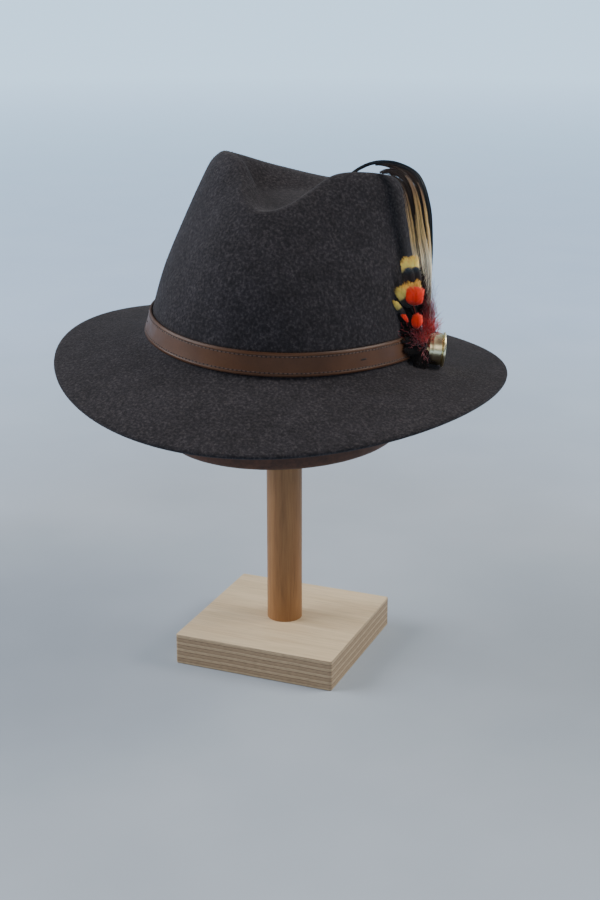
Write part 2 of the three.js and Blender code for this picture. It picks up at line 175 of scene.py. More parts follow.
def add_piece(name, mesh, material, nodes=(), smooth=True):
    """Show a finished mesh as a piece of the hat or its stand."""
    mesh.materials.clear()
    mesh.materials.append(material)
    mesh.polygons.foreach_set("use_smooth", [smooth] * len(mesh.polygons))
    piece = bpy.data.objects.new(name, mesh)
    bpy.context.scene.collection.objects.link(piece)
    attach(piece, BODY)
    if nodes:
        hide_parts(*nodes)
    return piece


def mesh_from(bm, name):
    mesh = bpy.data.meshes.new(name)
    bm.to_mesh(mesh)
    bm.free()
    return mesh


def cad_copy(node, crease_angle=60, crease=0.75):
    """The CAD node's triangles merged and joined to quads, with its sharp edges creased."""
    bm = bmesh.new()
    bm.from_mesh(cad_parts[node].data)
    bmesh.ops.remove_doubles(bm, verts=bm.verts, dist=MERGE_DISTANCE * MM)
    bmesh.ops.join_triangles(
        bm, faces=bm.faces, angle_face_threshold=math.radians(JOIN_TURN),
        angle_shape_threshold=math.radians(JOIN_TURN),
    )
    layer = bm.edges.layers.float.new("crease_edge")
    for edge in bm.edges:
        if len(edge.link_faces) == 2 and edge.calc_face_angle() > math.radians(crease_angle):
            edge[layer] = crease
    return bm


def subdivide(piece, levels):
    modifier = piece.modifiers.new("smooth", "SUBSURF")
    modifier.levels = levels
    modifier.render_levels = levels


def surface_of(piece):
    """The piece's final surface, for placing other things on it."""
    depsgraph = bpy.context.evaluated_depsgraph_get()
    depsgraph.update()
    shown = piece.evaluated_get(depsgraph)
    mesh = shown.to_mesh()
    corners = [vertex.co.copy() for vertex in mesh.vertices]
    faces = [tuple(polygon.vertices) for polygon in mesh.polygons]
    shown.to_mesh_clear()
    return BVHTree.FromPolygons(corners, faces)


def lathe(outline, steps, axis_matrix):
    """A closed turned shape. The outline runs as (radius, height) from axis to axis."""
    bm = bmesh.new()
    points = [bm.verts.new((radius, 0, height)) for radius, height in outline]
    edges = [bm.edges.new(pair) for pair in zip(points, points[1:])]
    bmesh.ops.spin(
        bm, geom=points + edges, cent=(0, 0, 0), axis=(0, 0, 1), dvec=(0, 0, 0),
        angle=2 * math.pi, steps=steps, use_merge=True,
    )
    bmesh.ops.remove_doubles(bm, verts=bm.verts, dist=0.001)
    bmesh.ops.recalc_face_normals(bm, faces=bm.faces)
    bmesh.ops.transform(bm, matrix=axis_matrix @ Matrix.Scale(MM, 4), verts=bm.verts)
    return bm


def copies(template, matrices, name):
    """One mesh that holds the template at each matrix."""
    bm = bmesh.new()
    for matrix in matrices:
        start = len(bm.verts)
        bm.from_mesh(template)
        bm.verts.ensure_lookup_table()
        bmesh.ops.transform(bm, matrix=matrix, verts=bm.verts[start:])
    return mesh_from(bm, name)


# Material helpers

class Finish:
    """A Principled material with short calls for the nodes that the finishes share."""

    def __init__(self, name, roughness, metallic=0.0, specular=0.5):
        self.material = bpy.data.materials.new(name)
        self.material.use_nodes = True
        tree = self.material.node_tree
        self.nodes = tree.nodes
        self.links = tree.links
        self.shader = self.nodes["Principled BSDF"]
        self.shader.inputs["Roughness"].default_value = roughness
        self.shader.inputs["Metallic"].default_value = metallic
        self.shader.inputs["Specular IOR Level"].default_value = specular
        self.place = self.nodes.new("ShaderNodeTexCoord").outputs["Object"]

    def mapped(self, scale, turn=(0, 0, 0)):
        node = self.nodes.new("ShaderNodeMapping")
        node.inputs["Scale"].default_value = scale
        node.inputs["Rotation"].default_value = turn
        self.links.new(self.place, node.inputs["Vector"])
        return node.outputs["Vector"]

    def noise(self, scale, detail=2.0, rough=0.5, distortion=0.0, source=None):
        node = self.nodes.new("ShaderNodeTexNoise")
        node.inputs["Scale"].default_value = scale
        node.inputs["Detail"].default_value = detail
        node.inputs["Roughness"].default_value = rough
        node.inputs["Distortion"].default_value = distortion
        self.links.new(source or self.place, node.inputs["Vector"])
        return node.outputs["Fac"]

    def attribute(self, name):
        node = self.nodes.new("ShaderNodeAttribute")
        node.attribute_name = name
        return node.outputs["Fac"]

    def ramp(self, source, stops):
        node = self.nodes.new("ShaderNodeValToRGB")
        marks = node.color_ramp.elements
        while len(marks) < len(stops):
            marks.new(0.5)
        for mark, (place, colour) in zip(marks, stops):
            mark.position = place
            mark.color = (*colour, 1) if isinstance(colour, tuple) else (colour,) * 3 + (1,)
        self.links.new(source, node.inputs["Fac"])
        return node.outputs["Color"]

    def mix(self, amount, first, second, blend="MIX"):
        node = self.nodes.new("ShaderNodeMix")
        node.data_type = "RGBA"
        node.blend_type = blend
        for value, socket in ((amount, node.inputs[0]), (first, node.inputs[6]),
                              (second, node.inputs[7])):
            if isinstance(value, tuple):
                socket.default_value = (*value, 1)
            elif isinstance(value, float):
                socket.default_value = value
            else:
                self.links.new(value, socket)
        return node.outputs[2]

    def math(self, operation, first, second=None):
        node = self.nodes.new("ShaderNodeMath")
        node.operation = operation
        for value, socket in ((first, node.inputs[0]), (second, node.inputs[1])):
            if isinstance(value, (int, float)):
                socket.default_value = value
            elif value is not None:
                self.links.new(value, socket)
        return node.outputs[0]

    def bump(self, height, strength, depth, below=None):
        node = self.nodes.new("ShaderNodeBump")
        node.inputs["Strength"].default_value = strength
        node.inputs["Distance"].default_value = depth * MM
        self.links.new(height, node.inputs["Height"])
        if below is not None:
            self.links.new(below, node.inputs["Normal"])
        return node.outputs["Normal"]

    def use(self, colour=None, roughness=None, normal=None):
        for source, socket in ((colour, "Base Color"), (roughness, "Roughness"),
                               (normal, "Normal")):
            if source is not None:
                self.links.new(source, self.shader.inputs[socket])
        return self.material


def wool_felt():
    finish = Finish("wool_felt", roughness=0.92, specular=0.18)
    finish.shader.inputs["Sheen Weight"].default_value = 0.075
    finish.shader.inputs["Sheen Roughness"].default_value = 0.45
    finish.shader.inputs["Sheen Tint"].default_value = (0.75, 0.73, 0.75, 1)
    heather = finish.noise(
        600, detail=6, rough=0.62, distortion=0.1, source=finish.mapped((1, 1, 0.85)),
    )
    colour = finish.ramp(heather, [
        (0.32, (0.0100, 0.0090, 0.0113)), (0.5, (0.0222, 0.0200, 0.0240)),
        (0.68, (0.058, 0.051, 0.055)),
    ])
    clouds = finish.ramp(finish.noise(70, detail=3), [(0.35, 0.74), (0.65, 1.0)])
    colour = finish.mix(1.0, colour, clouds, "MULTIPLY")
    for turn in ((0.3, 0.5, 0.2), (1.3, 0.2, 1.1), (0.4, 1.2, 2.0)):
        fibre = finish.noise(
            300, detail=1, distortion=0.5, source=finish.mapped((1, 1, 5), turn),
        )
        fleck = finish.ramp(fibre, [(0.68, 0.0), (0.80, 0.18)])
        colour = finish.mix(fleck, colour, (0.115, 0.095, 0.082))
    fuzz = finish.noise(900, detail=4, rough=0.7, distortion=0.8)
    pills = finish.noise(210, detail=2)
    normal = finish.bump(pills, 0.25, 0.9)
    normal = finish.bump(fuzz, 0.65, 0.45, normal)
    return finish.use(colour, normal=normal)


def band_leather():
    finish = Finish("band_leather", roughness=0.44, specular=0.3)
    clouds = finish.noise(38, detail=4, rough=0.6)
    colour = finish.ramp(clouds, [
        (0.3, (0.062, 0.024, 0.009)), (0.6, (0.086, 0.034, 0.013)), (0.8, (0.106, 0.045, 0.018)),
    ])
    pores = finish.noise(1500, detail=2, rough=0.6)
    dark = finish.ramp(pores, [(0.30, 0.62), (0.42, 1.0)])
    colour = finish.mix(0.7, colour, dark, "MULTIPLY")
    up = finish.attribute("across")
    edge = finish.ramp(up, [
        (0.0, 1.0), (0.035, 0.85), (0.075, 0.0), (0.925, 0.0), (0.965, 0.85), (1.0, 1.0),
    ])
    colour = finish.mix(finish.math("MULTIPLY", edge, 0.5), colour, (0.035, 0.016, 0.009))
    seam = finish.ramp(up, [
        (0.0, 1.0), (0.11, 1.0), (0.155, 0.0), (0.2, 1.0), (0.8, 1.0), (0.845, 0.0),
        (0.89, 1.0), (1.0, 1.0),
    ])
    shade = finish.ramp(seam, [(0.0, 0.62), (1.0, 1.0)])
    colour = finish.mix(1.0, colour, shade, "MULTIPLY")
    creases = finish.noise(130, detail=5, rough=0.6)
    normal = finish.bump(seam, 0.6, 0.35)
    normal = finish.bump(creases, 0.18, 0.35, normal)
    normal = finish.bump(pores, 0.22, 0.1, normal)
    gloss = finish.ramp(creases, [(0.3, 0.36), (0.7, 0.52)])
    return finish.use(colour, gloss, normal)


def stitch_thread():
    finish = Finish("stitch_thread", roughness=0.55)
    twist = finish.noise(2600, detail=1, source=finish.mapped((1, 1, 0.4)))
    colour = finish.ramp(twist, [(0.3, (0.055, 0.028, 0.018)), (0.7, (0.115, 0.064, 0.045))])
    return finish.use(colour, normal=finish.bump(twist, 0.5, 0.1))


# Near-black painted shade for the stitch holes and the slits, laid on the band as beads
def hole_shade():
    finish = Finish("hole_shade", roughness=0.8)
    grain = finish.noise(1500, detail=1)
    colour = finish.ramp(grain, [(0.3, (0.012, 0.006, 0.005)), (0.7, (0.022, 0.011, 0.009))])
    return finish.use(colour)


def polished_brass():
    finish = Finish("polished_brass", roughness=0.24, metallic=1.0)
    tarnish = finish.noise(120, detail=4, rough=0.55, distortion=0.3)
    colour = finish.ramp(tarnish, [
        (0.28, (0.76, 0.67, 0.38)), (0.5, (0.84, 0.75, 0.46)), (0.7, (0.90, 0.82, 0.54)),
    ])
    gloss = finish.ramp(tarnish, [(0.3, 0.33), (0.6, 0.27)])
    scratches = finish.noise(700, detail=2, source=finish.mapped((1, 1, 0.15)))
    return finish.use(colour, gloss, finish.bump(scratches, 0.08, 0.05))


def drawn_out(grain_axis, share):
    """A scale that draws a texture out along the grain."""
    return tuple(share if axis == grain_axis else 1.0 for axis in "XYZ")


def wood(name, dark, light, grain_axis, roughness):
    """Plain timber with its grain along one axis: its finish, colour and normal."""
    finish = Finish(name, roughness=roughness, specular=0.4)
    along = finish.mapped(drawn_out(grain_axis, 0.06))
    grain = finish.noise(420, detail=5, rough=0.62, distortion=0.25, source=along)
    broad = finish.noise(60, detail=3, distortion=1.2, source=along)
    both = finish.math(
        "ADD", finish.math("MULTIPLY", grain, 0.55), finish.math("MULTIPLY", broad, 0.45),
    )
    colour = finish.ramp(both, [(0.36, dark), (0.62, light)])
    pores = finish.noise(1600, detail=1, source=finish.mapped(drawn_out(grain_axis, 0.035)))
    fleck = finish.ramp(pores, [(0.28, 0.72), (0.42, 1.0)])
    colour = finish.mix(0.6, colour, fleck, "MULTIPLY")
    return finish, colour, finish.bump(grain, 0.2, 0.25)


def plywood():
    finish, face, normal = wood(
        "birch_plywood", (0.62, 0.475, 0.29), (0.76, 0.61, 0.405), "X", 0.55,
    )
    height = finish.nodes.new("ShaderNodeSeparateXYZ")
    finish.links.new(finish.place, height.inputs[0])
    wobble = finish.math("MULTIPLY", finish.noise(25, detail=1), PLY["wobble"] * MM)
    level = finish.math("ADD", height.outputs["Z"], wobble)
    thickness = PLY["thickness"] * MM
    ply = finish.math("MODULO", level, thickness)
    layer = finish.ramp(finish.math("DIVIDE", ply, thickness), [
        (0.0, (0.17, 0.105, 0.06)), (0.06, (0.30, 0.21, 0.13)), (0.12, (0.46, 0.35, 0.225)),
        (0.48, (0.52, 0.40, 0.265)), (0.54, (0.24, 0.16, 0.095)), (0.60, (0.36, 0.26, 0.165)),
        (0.95, (0.40, 0.295, 0.19)), (1.0, (0.20, 0.13, 0.08)),
    ])
    speckle = finish.noise(700, detail=3, source=finish.mapped((0.4, 0.4, 1)))
    layer = finish.mix(0.5, layer, finish.ramp(speckle, [(0.3, 0.6), (0.6, 1.0)]), "MULTIPLY")
    facing = finish.nodes.new("ShaderNodeNewGeometry")
    split = finish.nodes.new("ShaderNodeSeparateXYZ")
    finish.links.new(facing.outputs["Normal"], split.inputs[0])
    top = finish.ramp(split.outputs["Z"], [(0.55, 0.0), (0.8, 1.0)])
    return finish.use(finish.mix(top, layer, face), normal=normal)


def dowel_wood():
    finish, colour, normal = wood(
        "dowel_wood", (0.255, 0.122, 0.046), (0.37, 0.19, 0.075), "Z", 0.5,
    )
    return finish.use(colour, normal=normal)


# Brown wood made darker than the wood itself, as painted shade for the block under the hat's brim
def block_wood():
    finish, colour, normal = wood(
        "block_wood", (0.050, 0.018, 0.009), (0.098, 0.037, 0.018), "Y", 0.6,
    )
    return finish.use(colour, normal=normal)


def feather_finish(name, stops, roughness=0.55, sheen=0.3,
                   lots=((0.0, 0.62), (0.5, 0.9), (1.0, 1.15))):
    """Colour that runs from each strand's root (0) to its tip (1), and tones by strand."""
    finish = Finish(name, roughness=roughness, specular=0.35)
    finish.shader.inputs["Sheen Weight"].default_value = sheen
    finish.shader.inputs["Sheen Roughness"].default_value = 0.4
    colour = finish.ramp(finish.attribute("along"), stops)
    tone = finish.ramp(finish.attribute("lot"), lots)
    return finish.use(finish.mix(1.0, colour, tone, "MULTIPLY"))


# Felt body

felt = add_piece(
    "felt", mesh_from(cad_copy("felt_body"), "felt"), wool_felt(), ["felt_body"],
)
subdivide(felt, 2)


def felt_fuzz():
    finish = Finish("felt_fuzz", roughness=0.95, specular=0.1)
    tone = finish.noise(300, detail=3)
    return finish.use(finish.ramp(tone, [
        (0.35, (0.022, 0.020, 0.023)), (0.6, (0.055, 0.049, 0.052)), (0.75, (0.10, 0.085, 0.078)),
    ]))


def outside_of_felt(draw, wanted):
    """Random places and normals on the felt, without the inside of the crown."""
    shown = felt.evaluated_get(bpy.context.evaluated_depsgraph_get())
    mesh = shown.to_mesh()
    mesh.calc_loop_triangles()
    corners = np.array([vertex.co[:] for vertex in mesh.vertices])
    triangles = np.array([triangle.vertices[:] for triangle in mesh.loop_triangles])
    shown.to_mesh_clear()
    a, b, c = (corners[triangles[:, index]] for index in range(3))
    facing = np.cross(b - a, c - a)
    area = np.linalg.norm(facing, axis=1)
    picked = draw.choice(len(triangles), size=wanted, p=area / area.sum())
    u, v = draw.random((2, wanted, 1))
    flip = u + v > 1
    u, v = np.where(flip, 1 - u, u), np.where(flip, 1 - v, v)
    places = a[picked] * (1 - u - v) + b[picked] * u + c[picked] * v
    normals = facing[picked] / area[picked, None]
    to_hat = np.array(HAT.inverted())
    in_hat = places @ to_hat[:3, :3].T + to_hat[:3, 3]
    upward = normals @ to_hat[2, :3]
    inside = (np.hypot(in_hat[:, 0], in_hat[:, 1]) < FUZZ["inside"] * MM) & (upward < 0)
    return places[~inside], normals[~inside]


def fuzz_spike():
    """One slim closed spike of four triangles, a unit long: its corners and its faces."""
    bm = bmesh.new()
    bmesh.ops.create_cone(
        bm, segments=3, radius1=FUZZ["radius"] * MM, radius2=0, depth=1, cap_ends=True,
    )
    bmesh.ops.remove_doubles(bm, verts=bm.verts, dist=0.001 * MM)
    bmesh.ops.translate(bm, vec=(0, 0, 0.5), verts=bm.verts)
    bmesh.ops.recalc_face_normals(bm, faces=bm.faces)
    spike = mesh_from(bm, "spike")
    corners = np.array([vertex.co[:] for vertex in spike.vertices])
    faces = np.array([polygon.vertices[:] for polygon in spike.polygons])
    return corners, faces


def fuzz_mesh():
    """Short leaning hairs, each a copy of the spike."""
    draw = np.random.default_rng(3)
    places, normals = outside_of_felt(draw, FUZZ["count"])
    room = FUZZ["clear"] * MM
    clear = [index for index, (place, normal) in enumerate(zip(places, normals))
             if band_surface.ray_cast(Vector(place), Vector(normal), room)[0] is None]
    places, normals = places[clear], normals[clear]
    count = len(places)
    heading = normals + draw.normal(0, FUZZ["lean"], (count, 3))
    heading /= np.linalg.norm(heading, axis=1)[:, None]
    side = np.cross(heading, draw.normal(0, 1, (count, 3)))
    side /= np.linalg.norm(side, axis=1)[:, None]
    other = np.cross(heading, side)
    length = draw.uniform(*FUZZ["length"], (count, 1)) * MM
    base = places - normals * FUZZ["sunk"] * MM
    corners, faces = fuzz_spike()
    turned = np.stack([side, other, heading * length], axis=1)
    points = (base[:, None] + corners @ turned).reshape(-1, 3)
    every_face = (np.arange(count)[:, None, None] * len(corners) + faces).reshape(-1, 3)
    mesh = bpy.data.meshes.new("felt_fuzz")
    mesh.from_pydata(points.tolist(), [], every_face.tolist())
    return mesh


# Leather band, its stitches and its two slits

def hat_azimuth(point):
    return math.degrees(math.atan2(point.x, -point.y))


def band_mesh():
    """The band's CAD mesh, with the share of its height stored at each vertex."""
    bm = cad_copy("hat_band", crease_angle=50, crease=0.62)
    back_to_hat = HAT.inverted()
    height = bm.verts.layers.float.new("across")
    places = [(vertex, back_to_hat @ vertex.co) for vertex in bm.verts]
    columns = {}
    for vertex, place in places:
        column = round(hat_azimuth(place) / BAND_COLUMN_TURN) % (360 // BAND_COLUMN_TURN)
        columns.setdefault(column, []).append((vertex, place.z))
    for column in columns.values():
        low = min(z for _, z in column)
        high = max(z for _, z in column)
        for vertex, z in column:
            vertex[height] = (z - low) / (high - low)
    return mesh_from(bm, "band")


band = add_piece("leather_band", band_mesh(), band_leather(), ["hat_band"])
subdivide(band, 2)

felt_surface = surface_of(felt)
band_surface = surface_of(band)
add_piece("felt_fuzz", fuzz_mesh(), felt_fuzz())


def on_band(azimuth, share):
    """Place, outward normal and direction along the band at a share of its height there.

    The band's height there comes last, in millimetres.
    """
    angle = math.radians(azimuth)
    outward = HAT.to_3x3() @ Vector((math.sin(angle), -math.cos(angle), 0))

    def hit(level):
        start = HAT @ Vector((0, 0, level * MM)) + outward * (BAND_RAY["start"] * MM)
        return band_surface.ray_cast(start, -outward, BAND_RAY["reach"] * MM)

    levels = [level for level in BAND_LEVELS if hit(level)[0] is not None]
    height = max(levels) - min(levels)
    place, normal, _, _ = hit(min(levels) + height * share)
    if normal.dot(outward) < 0:
        normal = -normal
    up = HAT.to_3x3() @ Vector((0, 0, 1))
    return place, normal, up.cross(normal).normalized(), height


def set_on(place, normal, along, lift):
    """Matrix whose X runs along the band and Z out of it."""
    side = normal.cross(along).normalized()
    matrix = Matrix((along, side, normal)).transposed().to_4x4()
    matrix.translation = place + normal * (lift * MM)
    return matrix


def bead(length, width, height):
    """A low rounded grain, long along X."""
    bm = bmesh.new()
    bmesh.ops.create_uvsphere(bm, u_segments=8, v_segments=5, radius=0.5)
    bmesh.ops.scale(bm, vec=(width * MM, height * MM, length * MM), verts=bm.verts)
    turn = Matrix.Rotation(math.radians(90), 4, "Y") @ Matrix.Rotation(math.radians(90), 4, "Z")
    bmesh.ops.transform(bm, matrix=turn, verts=bm.verts)
    return mesh_from(bm, "bead")


def stitches():
    """The stitches along both edges of the band, and between them near-black beads that paint the
    shade inside their holes.
    """
    random.seed(11)
    count = round(2 * math.pi * STITCH["ring"] / STITCH["pitch"])
    threads = []
    holes = []
    for index in range(count):
        azimuth = 360 * index / count
        _, _, _, height = on_band(azimuth, 0.5)
        inset = STITCH["inset"] / height
        for share in (inset, 1 - inset):
            astray = random.uniform(-STITCH["astray"], STITCH["astray"])
            place, normal, along, _ = on_band(azimuth + astray, share)
            tilt = Matrix.Rotation(math.radians(random.uniform(*STITCH["tilt"])), 4, "Z")
            threads.append(set_on(place, normal, along, STITCH["lift"]) @ tilt)
            gap = along * (STITCH["pitch"] / 2 * MM)
            holes.append(set_on(place + gap, normal, along, STITCH_HOLE["lift"]))
    thread = bead(*STITCH["bead"])
    hole = bead(*STITCH_HOLE["bead"])
    return copies(thread, threads, "stitches"), copies(hole, holes, "stitch_holes")


def slits():
    """The band's two slits, each one long near-black bead that paints the shade inside a slit."""
    turn = Matrix.Rotation(SLIT["turn_in_radians"], 4, "Z")
    places = []
    for azimuth in SLIT["azimuths"]:
        place, normal, along, _ = on_band(azimuth, 0.5)
        places.append(set_on(place, normal, along, SLIT["lift"]) @ turn)
    return copies(bead(*SLIT["bead"]), places, "band_slit_shade")


thread_mesh, hole_mesh = stitches()
add_piece("band_stitches", thread_mesh, stitch_thread())
hole_shade_finish = hole_shade()
add_piece("band_stitch_hole_shade", hole_mesh, hole_shade_finish)
add_piece("band_slit_shade", slits(), hole_shade_finish)


# Feather pin

def pin_point(back, up, out):
    return PIN @ (Vector((back, up, out)) * MM)


def seen_at(x, y, back, in_front=True):
    """The point behind a picture place, at a depth on the pin's back axis and before the hat."""
    toward = CAMERA_TURN @ Vector((
        x - PICTURE_CENTRE[0], PICTURE_CENTRE[1] - y, -FOCAL_PIXELS,
    )).normalized()
    start = CAMERA_PLACE * MM
    to_pin = PIN.inverted()
    from_pin = to_pin @ start
    ray = to_pin.to_3x3() @ toward
    reach = (back * MM - from_pin.x) / ray.x
    for surface in (felt_surface, band_surface):
        hit = surface.ray_cast(start, toward)
        if in_front and hit[0] is not None:
            reach = min(reach, hit[3] - FEATHER_CLEARANCE * MM)
    return start + toward * reach


def strands(name, runs):
    """Thin closed tubes. Each run is a list of (point, radius in mm, along) and a lot."""
    curve = bpy.data.curves.new(name, "CURVE")
    curve.dimensions = "3D"
    curve.bevel_depth = MM
    curve.bevel_resolution = 0
    along = []
    lots = []
    for run, lot in runs:
        spline = curve.splines.new("POLY")
        spline.points.add(len(run) - 1)
        for target, (point, radius, share) in zip(spline.points, run):
            target.co = (*point, 1)
            target.radius = radius
            along.extend([share] * 4)
            lots.extend([lot] * 4)
    holder = bpy.data.objects.new(name, curve)
    mesh = bpy.data.meshes.new_from_object(holder)
    bpy.data.objects.remove(holder)
    bpy.data.curves.remove(curve)
    if len(mesh.vertices) != len(along):
        raise RuntimeError(f"{name}: {len(mesh.vertices)} points, not {len(along)}")
    mesh.attributes.new("along", "FLOAT", "POINT").data.foreach_set("value", along)
    mesh.attributes.new("lot", "FLOAT", "POINT").data.foreach_set("value", lots)
    bm = bmesh.new()
    bm.from_mesh(mesh)
    bmesh.ops.holes_fill(bm, edges=bm.edges, sides=4)
    bmesh.ops.recalc_face_normals(bm, faces=bm.faces)
    return mesh_from(bm, name)


def clamp(value, low=0, high=1):
    return min(max(value, low), high)


def outline(width, length, square, count):
    """Evenly spaced ends of one side's barbs, from the vane's foot to its tip."""
    first, last = (math.radians(turn) for turn in VANE["arc"])
    angles = np.linspace(first, last, VANE["arc_steps"])
    across = width / 2 * np.abs(np.cos(angles)) ** (2 / square)
    rise = np.sign(np.sin(angles)) * np.abs(np.sin(angles)) ** (2 / square)
    up = length * (VANE["belly"] + (1 - VANE["belly"]) * rise)
    steps = np.concatenate([[0], np.cumsum(np.hypot(np.diff(across), np.diff(up)))])
    wanted = np.linspace(0, steps[-1], count)
    return list(zip(np.interp(wanted, steps, across), np.interp(wanted, steps, up)))


def vane(foot, tip, width, square, quill_root, ragged):
    """The barbs and the quill of one short feather, from its vane's foot to its tip."""
    length = (tip - foot).length / MM
    along = (tip - foot).normalized()
    toward = (CAMERA_PLACE * MM - foot).normalized()
    side = along.cross(toward).normalized()
    face = side.cross(along).normalized()
    lot = random.random()

    def on_vane(x, y):
        bow = VANE["bow"] * length * math.sin(math.pi * clamp(y / length))
        drop = VANE["cup"] * (x / (width / 2)) ** 2
        return foot + (along * y + side * x + face * (bow - drop)) * MM

    runs = []
    per_side = max(int((length + width / 2) / BARB["pitch"]), BARB["fewest"])
    for sign in (-1, 1):
        split = 0.0
        for x, y in outline(width, length, square, per_side):
            if random.random() < BARB["split_chance"]:
                split = random.uniform(-BARB["split"], BARB["split"])
            reach = 1 + random.uniform(-ragged, ragged * 0.6)
            start = y - BARB["lean"] * x - VANE["first_root"] * length
            start = clamp(start, 0, length * VANE["last_root"])
            run = []
            for share, taper in BARB_TAPER:
                px = sign * x * share * reach
                py = start + (y * reach + split - start) * share ** BARB["rise"]
                run.append((on_vane(px, py), BARB["radius"] * taper, clamp(py / length)))
            runs.append((run, clamp(lot + random.uniform(-BARB["lot"], BARB["lot"]))))
    bend = quill_root.lerp(foot, QUILL["bend_share"])
    bend += (foot - quill_root).cross(side) * QUILL["bend"]
    quill = [(quill_root, QUILL["root_radius"], 0.0), (bend, QUILL["bend_radius"], 0.0)]
    for share in QUILL["shares"]:
        place = on_vane(0, share * length) + face * QUILL["lift"] * MM
        quill.append((place, QUILL["vane_radius"] * (1 - QUILL["taper"] * share), share))
    runs.append((quill, lot))
    return runs


# Short feathers by kind. Each has the picture places of its vane's foot and tip, the depths
# of both on the pin's back axis, its width and how square its tip is
GOLDEN = [
    ((413, 290), (413.8, 255.5), (-11, -11), 6.8, 3.6),
    ((410, 291), (405, 257), (-10, -10.5), 7.0, 3.8),
]
SLATE = [
    ((415, 292), (416, 266.5), (-12.5, -12.5), 7.2, 2.6),
    ((411, 292), (408, 267.5), (-13, -13), 7.4, 2.6),
]
AMBER = [
    ((415, 306), (416.5, 279.5), (-14, -13.5), 6.8, 3.4),
    ((411, 306), (409, 281), (-14.5, -14), 6.6, 3.4),
    ((411, 306), (402.5, 283.5), (-15, -15), 6.0, 3.4),
]
LEMON = [
    ((410.5, 307), (397, 287.5), (-14, -17), 7.0, 3.6),
    ((405, 315.5), (393.2, 300.5), (-15, -18), 3.8, 2.8),
]
SCARLET = [
    ((413.5, 305.5), (416, 286.5), (-17.5, -17), 11.2, 4.8),
    ((415.5, 329), (418.3, 313), (-15, -14), 7.2, 2.3),
    ((408, 324), (401.5, 312), (-14, -16), 3.2, 2.4),
]
# Near-black hackles: black feathers, with extra vanes and a near-black tone that also paint the
# shade beside and under the pin
HACKLE_AND_SHADE = [
    ((418, 330), (398, 303), (-10, -14), 5.5, 2.2),
    ((418, 332), (399, 316), (-10, -15), 5.0, 2.2),
    ((420, 336), (401, 330), (-9, -13), 6.0, 2.2),
    ((421, 342), (402, 341), (-8, -10), 7.0, 2.2),
    ((423, 348), (403, 351), (-8, -9), 7.5, 2.2),
    ((424, 350), (408, 361), (-8, -8), 7.5, 2.2),
    ((426, 350), (416, 367), (-8, -8), 7.5, 2.2),
    ((427, 350), (424, 369), (-8, -7), 6.5, 2.2),
    ((416, 330), (408, 298), (-9, -12), 7.5, 2.4),
    ((418, 328), (419, 298), (-8, -8), 8.0, 2.4),
    ((424, 330), (426, 300), (-5, -3), 5.0, 2.2),
    ((420, 320), (405, 270), (-6, -9), 6.5, 2.4),
    ((424, 318), (420, 270), (-3, -4), 6.0, 2.4),
    ((414, 345), (406, 325), (-9, -11), 7.0, 2.4),
]


def short_feathers(kinds, ragged=0.05):
    """The runs of all the feathers in one list, rooted in the pin's plug."""
    runs = []
    for foot, tip, depths, width, square in kinds:
        back = random.uniform(*SHORT_ROOT["back"])
        root = pin_point(back, random.uniform(*SHORT_ROOT["up"]), SHORT_ROOT["out"])
        vane_foot = seen_at(*foot, depths[0])
        vane_tip = seen_at(*tip, depths[1])
        runs += vane(vane_foot, vane_tip, width, square, root, ragged)
    return runs


def fluff(count, centre, spread, length, thick):
    """Loose curling barbs around one picture place, blown up and outward from the pin."""
    runs = []
    root = pin_point(*FLUFF["root"])
    for _ in range(count):
        x = centre[0] + random.gauss(0, spread[0])
        y = centre[1] + random.gauss(0, spread[1])
        start = seen_at(x, y, centre[2] + random.uniform(-FLUFF["depth"], FLUFF["depth"]))
        heading = (start - root).normalized()
        swing = Vector([random.gauss(0, 1) for _ in range(3)])
        curl = heading.cross(swing).normalized()
        reach = length * random.uniform(*FLUFF["length"]) * MM
        lot = random.random()
        run = []
        for step in range(FLUFF["steps"] + 1):
            share = step / FLUFF["steps"]
            point = start + heading * reach * share
            point += curl * reach * FLUFF["curl"] * share ** FLUFF["curl_power"]
            ripple = math.sin(share * FLUFF["ripples_in_radians"])
            point += curl.cross(heading) * reach * FLUFF["ripple"] * ripple
            run.append((point, thick * (1 - FLUFF["taper"] * share), share))
        runs.append((run, lot))
    return runs


def smooth_path(points, steps):
    """Evenly numbered places on a curve through the points."""
    ends = [points[0] * 2 - points[1], *points, points[-1] * 2 - points[-2]]
    places = []
    for step in range(steps + 1):
        spot = step / steps * (len(points) - 1)
        index = min(int(spot), len(points) - 2)
        t = spot - index
        p0, p1, p2, p3 = ends[index:index + 4]
        places.append(0.5 * (
            2 * p1 + (p2 - p0) * t + (2 * p0 - 5 * p1 + 4 * p2 - p3) * t * t
            + (3 * p1 - p0 - 3 * p2 + p3) * t ** 3
        ))
    return places


# Long strands. Each row of a guide has a picture place, the bundle's width there in picture
# points and its depth on the pin's back axis
STRAW_MAIN = [
    (427, 337, 3, -2), (428, 300, 5, -2), (427.2, 280, 8, -2), (426, 262, 10, -2),
    (422.6, 242, 8, -1), (419.8, 222, 5.5, 0), (417.6, 206, 4.6, 0), (414.8, 192, 3.6, 1),
    (410, 181, 3, 2), (403, 173, 2, 3),
]
STRAW_EDGE = [
    (428, 337, 2, 0), (429.3, 300, 2, 0), (430.0, 270, 2.6, 0), (429.2, 245, 2.6, 0),
    (426.8, 222, 2.4, 0), (424.3, 205, 2, 1), (421.3, 192, 1.6, 1), (416, 179, 1, 2),
]
STRAW_WISPS = [
    (426, 337, 2, -3), (422.5, 295, 5, -3), (419, 268, 7, -3), (415.4, 246, 8, -2),
    (412.5, 226, 8, -1), (409.5, 208, 8, 0), (405.5, 192, 6, 1), (400, 179, 4, 2),
]
